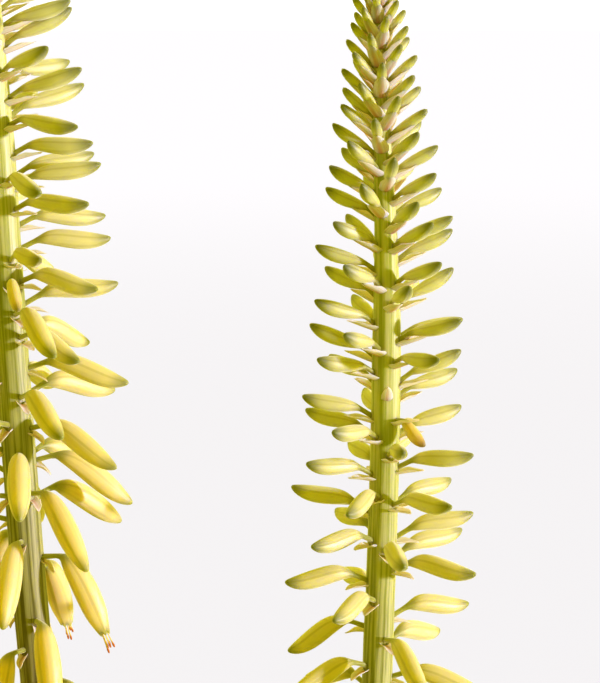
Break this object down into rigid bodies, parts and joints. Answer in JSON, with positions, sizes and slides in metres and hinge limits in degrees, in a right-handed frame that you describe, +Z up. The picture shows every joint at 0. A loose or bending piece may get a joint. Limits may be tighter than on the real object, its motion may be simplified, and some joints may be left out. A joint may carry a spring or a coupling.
{
  "type": "potted aloe vera in flower",
  "caption": "Potted aloe plant with a rosette of toothed leaves and tall flower stalks that carry spikes of drooping yellow tube flowers, in a plain clay pot.",
  "frame": {"origin": "middle of the flat underside of the pot", "axes": "+Z up along the pot's axis, -Y towards the side that is looked at, +X to the right"},
  "size_m": [0.4606, 0.4832, 0.7749],
  "materials": {
    "clay": "unglazed fired clay, matt and slightly porous",
    "potting_soil": "moist gritty potting soil, matt",
    "crown_tissue": "fleshy plant stem with dry scales, matt",
    "leaf_skin": "thick waxy leaf skin, satin",
    "flower_tissue": "smooth waxy petals and ribbed green stem, satin"
  },
  "bodies": {
    "root": {"pot": "clay", "soil": "potting_soil", "crown": "crown_tissue", "leaf_01": "leaf_skin", "leaf_02": "leaf_skin", "leaf_03": "leaf_skin", "leaf_04": "leaf_skin", "leaf_05": "leaf_skin", "leaf_06": "leaf_skin", "leaf_07": "leaf_skin", "leaf_08": "leaf_skin", "leaf_09": "leaf_skin", "leaf_10": "leaf_skin", "leaf_11": "leaf_skin", "leaf_12": "leaf_skin", "leaf_13": "leaf_skin", "leaf_14": "leaf_skin", "flower_stalk_right": "flower_tissue", "flower_stalk_left": "flower_tissue"}
  },
  "joints": []
}
